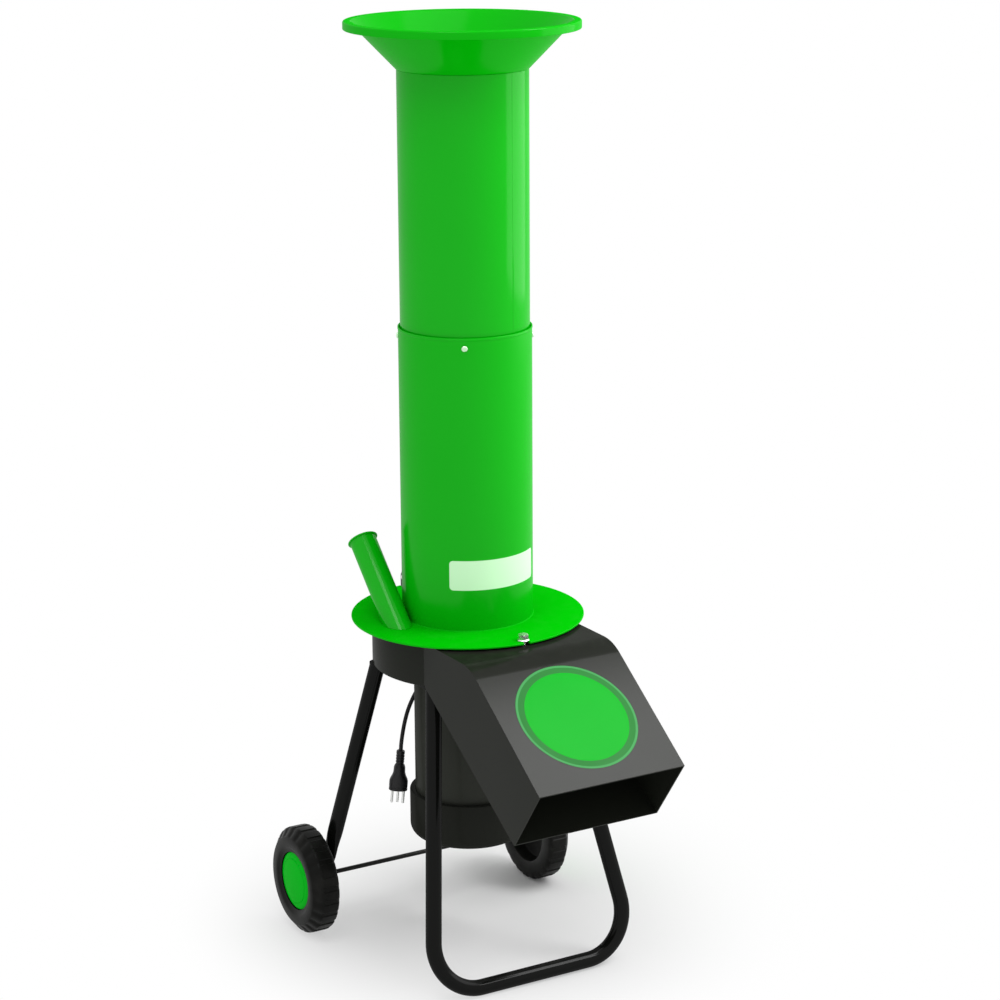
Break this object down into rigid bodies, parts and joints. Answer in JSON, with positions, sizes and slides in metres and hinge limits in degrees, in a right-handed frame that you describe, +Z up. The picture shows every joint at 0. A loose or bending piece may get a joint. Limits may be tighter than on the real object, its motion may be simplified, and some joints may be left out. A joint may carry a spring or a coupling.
{
  "type": "electric garden shredder",
  "caption": "Upright electric shredder: feed funnel on sliding tubes, tilting lid with a branch tube, cutter drum, discharge chute, hanging motor, tube legs and transport wheels.",
  "frame": {"origin": "on the floor under the middle of the whole machine", "axes": "+Z up along the feed tubes, -Y out of the discharge chute, X along the wheel axle"},
  "size_m": [0.425, 0.5938, 1.3],
  "materials": {
    "green_paint": "glossy enamel",
    "black_paint": "satin enamel",
    "leg_paint": "glossy enamel",
    "green_plastic": "glossy",
    "black_plastic": "fine grain",
    "red_plastic": "glossy",
    "pale_plastic": "satin",
    "wheel_rubber": "moulded rubber",
    "cord_rubber": "satin",
    "zinc": "zinc plated",
    "steel": "ground",
    "cast": "as cast",
    "winding": "lacquered copper wire",
    "plug_pins": "nickel plated"
  },
  "bodies": {
    "base": {"closing_nut": "zinc", "hinge_bracket": "black_paint", "hinge_pin": "zinc", "chamber_drum": "black_paint", "discharge_chute": "black_paint", "motor_housing": "black_paint", "top_shield": "cast", "bottom_shield": "cast", "upper_bearing": "steel", "lower_bearing": "steel", "stator_core": "steel", "stator_winding": "winding", "fan_cowl": "black_plastic", "motor_bolt_1": "zinc", "motor_bolt_2": "zinc", "motor_bolt_3": "zinc", "motor_bolt_4": "zinc", "leg_bolt_1": "zinc", "leg_bolt_2": "zinc", "leg_bolt_3": "zinc", "leg_bolt_4": "zinc", "front_leg_frame": "leg_paint", "rear_leg_left": "leg_paint", "rear_leg_right": "leg_paint", "axle": "steel", "axle_nut_left": "zinc", "axle_nut_right": "zinc", "switch_box": "black_plastic", "capacitor": "pale_plastic", "cord_boot": "cord_rubber", "power_cord": "cord_rubber", "plug_body": "cord_rubber", "plug_pin_1": "plug_pins", "plug_pin_2": "plug_pins", "plug_pin_3": "plug_pins"},
    "lid": {"feed_funnel": "green_paint", "upper_feed_tube": "green_paint", "lower_feed_tube": "green_paint", "tube_screw_1": "zinc", "tube_screw_2": "zinc", "tube_screw_3": "zinc", "tube_screw_4": "zinc", "lid_plate": "green_paint", "branch_tube": "green_paint", "lid_knuckle": "green_paint", "counter_knife": "steel"},
    "lid_bolt": {"closing_bolt": "zinc"},
    "rotor": {"motor_shaft": "steel", "rotor_core": "steel", "cooling_fan": "pale_plastic", "cutter_disc": "steel", "knife_a": "steel", "knife_b": "steel", "shaft_nut": "zinc"},
    "left_wheel": {"wheel_left": "wheel_rubber", "hub_cap_left": "green_plastic"},
    "right_wheel": {"wheel_right": "wheel_rubber", "hub_cap_right": "green_plastic"},
    "rocker": {"switch_rocker": "red_plastic"}
  },
  "joints": [
    {"name": "lid_tilt", "type": "hinge", "parent": "base", "child": "lid", "pos_m": [0, 0.23642, 0.497], "axis": [-1, 0, 0], "range_deg": [0, 90]},
    {"name": "lid_bolt_turn", "type": "hinge", "parent": "lid", "child": "lid_bolt", "pos_m": [0, -0.07158, 0.4853], "axis": [0, 0, 1], "continuous": true},
    {"name": "rotor_spin", "type": "hinge", "parent": "base", "child": "rotor", "pos_m": [0, 0.07842, 0.4164], "axis": [0, 0, 1], "continuous": true},
    {"name": "left_wheel_spin", "type": "hinge", "parent": "base", "child": "left_wheel", "pos_m": [-0.1933, 0.21962, 0.0773], "axis": [1, 0, 0], "continuous": true},
    {"name": "right_wheel_spin", "type": "hinge", "parent": "base", "child": "right_wheel", "pos_m": [0.1933, 0.21962, 0.0773], "axis": [1, 0, 0], "continuous": true},
    {"name": "rocker_tilt", "type": "hinge", "parent": "base", "child": "rocker", "pos_m": [-0.008, 0.17932, 0.392], "axis": [-1, 0, 0], "range_deg": [0, 20]}
  ]
}
